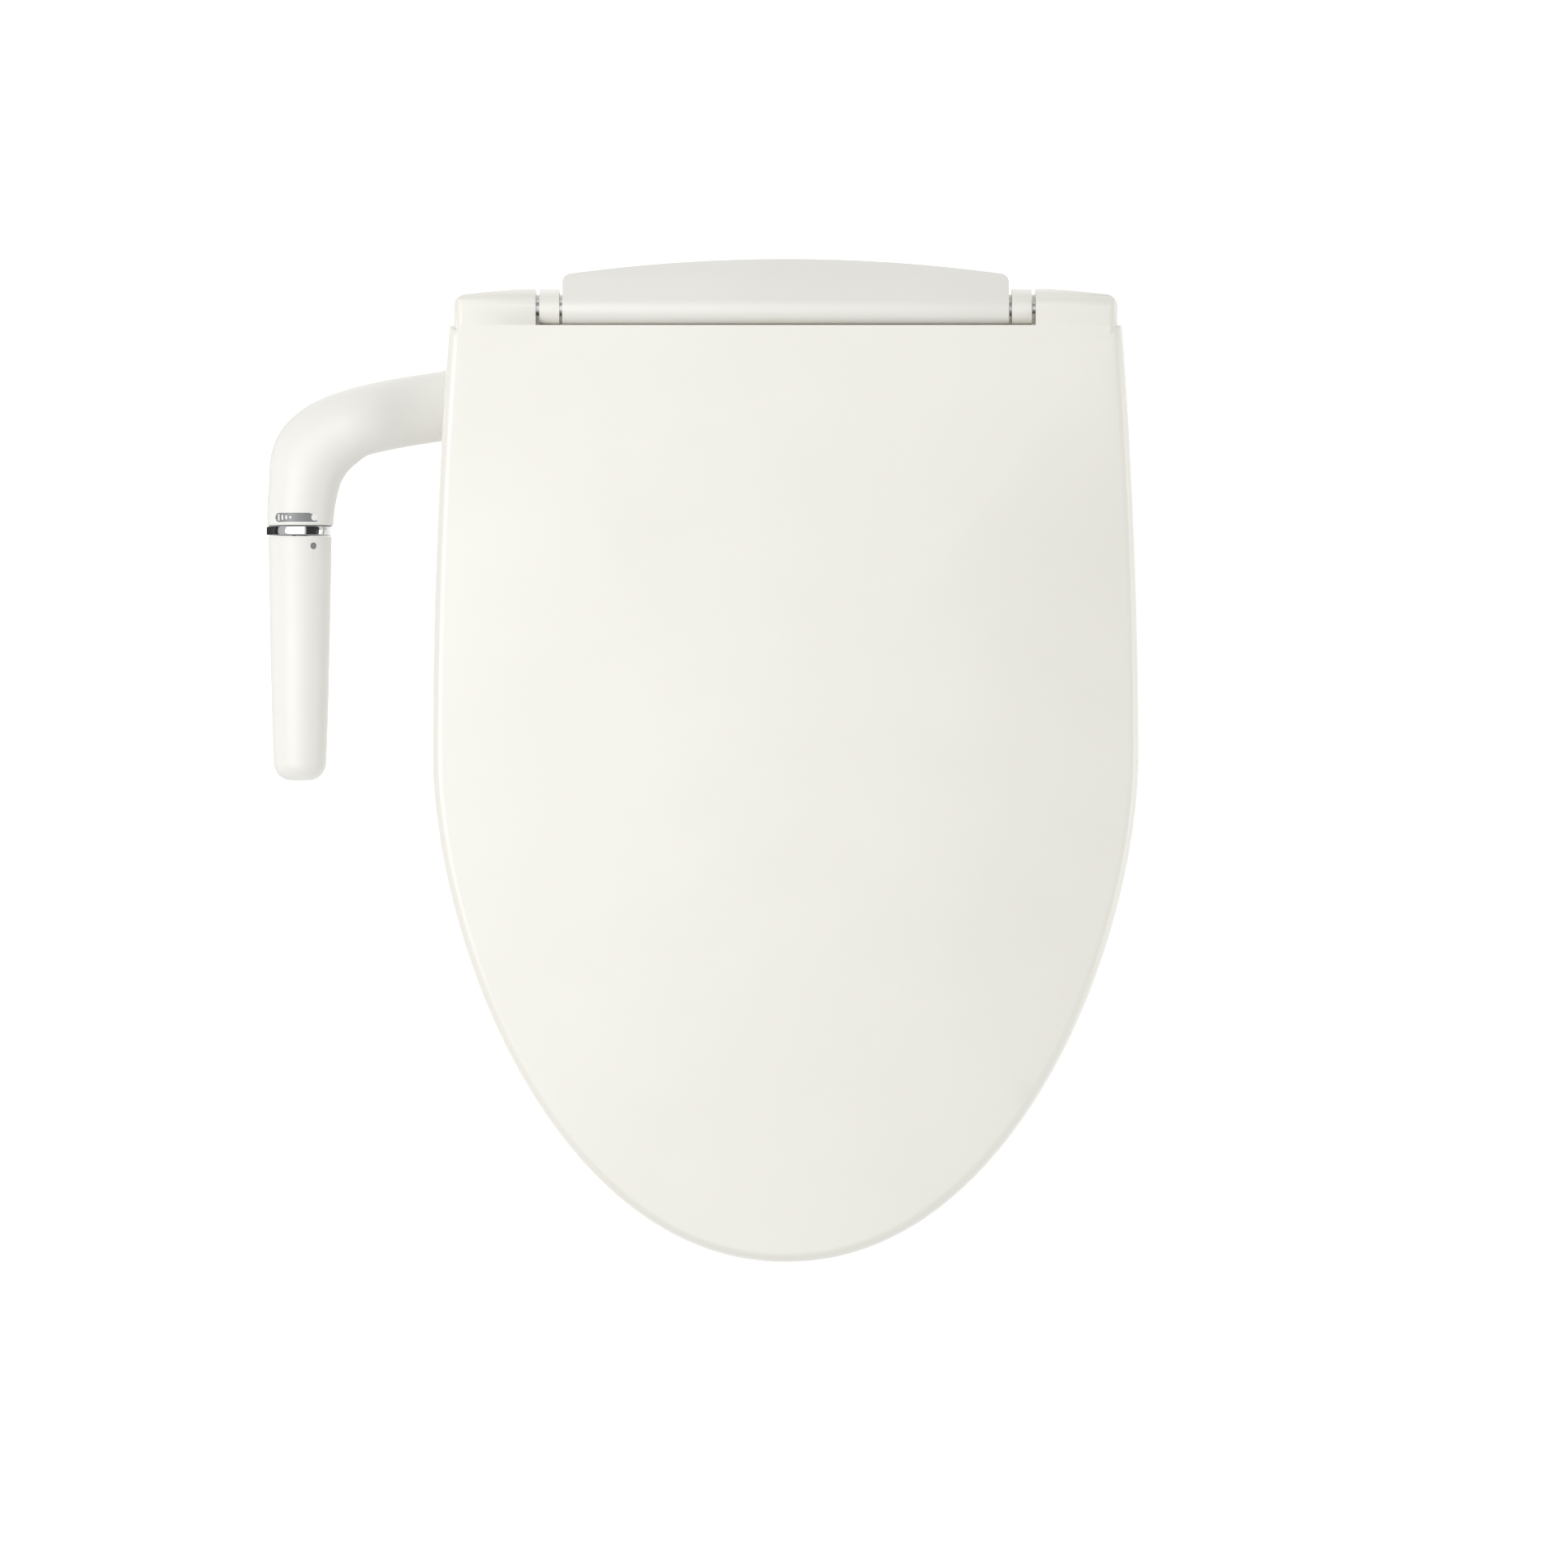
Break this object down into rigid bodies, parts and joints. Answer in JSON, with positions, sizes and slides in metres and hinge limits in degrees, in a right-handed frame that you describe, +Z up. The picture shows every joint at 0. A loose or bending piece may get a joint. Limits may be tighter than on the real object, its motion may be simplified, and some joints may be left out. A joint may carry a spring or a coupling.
{
  "type": "electric bidet seat",
  "caption": "Bidet toilet seat with a crowned lid, heated ring, slim rear housing, retracting wash wand and a bent side arm with a twist grip.",
  "frame": {"origin": "on the bowl deck, midway between the two bowl bolts, at the underside of the mounting plate", "axes": "+X to the right of the seat as seen from above with its front towards the viewer, the arm being on -X; +Y to the rear, +Z up from the bowl deck"},
  "size_m": [0.4565, 0.5241, 0.1115],
  "materials": {
    "lid_and_ring": "satin moulded plastic, warm white",
    "housing": "satin moulded plastic, a shade darker",
    "arm_and_grip": "satin moulded plastic, warm white",
    "grey_plastic": "fine matt moulding",
    "mark_grey": "inlaid grey mark",
    "rubber": "matt",
    "chrome": "polished",
    "steel": "plated",
    "brass": "machined",
    "copper": "copper-coloured",
    "circuit_board": "green board"
  },
  "bodies": {
    "housing": {"housing_base": "housing", "housing_cover": "housing", "cover_screw_1": "steel", "cover_screw_2": "steel", "cover_screw_3": "steel", "cover_screw_4": "steel", "mounting_plate": "grey_plastic", "bowl_bolt_left": "steel", "bowl_bolt_right": "steel", "bowl_washer_left": "rubber", "bowl_washer_right": "rubber", "bowl_nut_left": "grey_plastic", "bowl_nut_right": "grey_plastic", "lid_damper_body": "grey_plastic", "ring_damper_body": "grey_plastic", "wand_guide": "grey_plastic", "wand_motor": "steel", "water_inlet": "chrome", "inlet_filter": "brass", "lead_gland": "rubber", "water_heater": "copper", "solenoid_valve": "grey_plastic", "control_board": "circuit_board", "arm_upper_shell": "arm_and_grip", "arm_lower_shell": "arm_and_grip", "pressure_scale": "mark_grey", "arm_flange": "grey_plastic", "supply_hose": "rubber", "spray_hose": "rubber", "valve_body": "brass", "chrome_ring": "chrome"},
    "ring": {"ring_upper_shell": "lid_and_ring", "ring_lower_shell": "lid_and_ring", "ring_heater_mat": "copper", "seat_sensor": "grey_plastic", "ring_foot_rear_left": "rubber", "ring_foot_rear_right": "rubber", "ring_foot_front_left": "rubber", "ring_foot_front_right": "rubber", "ring_damper_shaft": "steel"},
    "lid": {"lid": "lid_and_ring", "lid_bumper_rear_left": "rubber", "lid_bumper_rear_right": "rubber", "lid_bumper_front_left": "rubber", "lid_bumper_front_right": "rubber", "lid_damper_shaft": "steel"},
    "grip": {"grip_sleeve": "arm_and_grip", "grip_core": "grey_plastic", "valve_stem": "steel", "index_dot": "mark_grey"},
    "wand": {"wand_tube": "housing", "wand_rack": "grey_plastic", "nozzle_tip": "chrome"},
    "pinion": {"drive_pinion": "grey_plastic"},
    "release": {"release_button": "grey_plastic", "latch_bar": "steel"}
  },
  "joints": [
    {"name": "ring_hinge", "type": "hinge", "parent": "housing", "child": "ring", "pos_m": [0, 0.023, 0.042], "axis": [1, 0, 0], "range_deg": [-95, 0]},
    {"name": "lid_hinge", "type": "hinge", "parent": "ring", "child": "lid", "pos_m": [0, 0.023, 0.042], "axis": [-1, 0, 0], "range_deg": [0, 105]},
    {"name": "grip_twist", "type": "hinge", "parent": "housing", "child": "grip", "pos_m": [-0.2545, -0.0953, 0.022], "axis": [0, -1, 0], "range_deg": [0, 60]},
    {"name": "wand_slide", "type": "slide", "parent": "housing", "child": "wand", "axis": [0, -0.9903, -0.1392], "range_m": [0, 0.085]},
    {"name": "pinion_spin", "type": "hinge", "parent": "housing", "child": "pinion", "pos_m": [0.0134, -0.0505, 0.0059], "axis": [0, -0.1392, 0.9903], "range_deg": [0, 813]},
    {"name": "release_press", "type": "slide", "parent": "housing", "child": "release", "axis": [-1, 0, 0], "range_m": [0, 0.004], "stiffness_N_per_m": 400, "springref_m": -0.001}
  ],
  "couplings": [
    {"joint": "pinion_spin", "follows": "wand_slide", "rad_per_m": 166.67}
  ]
}
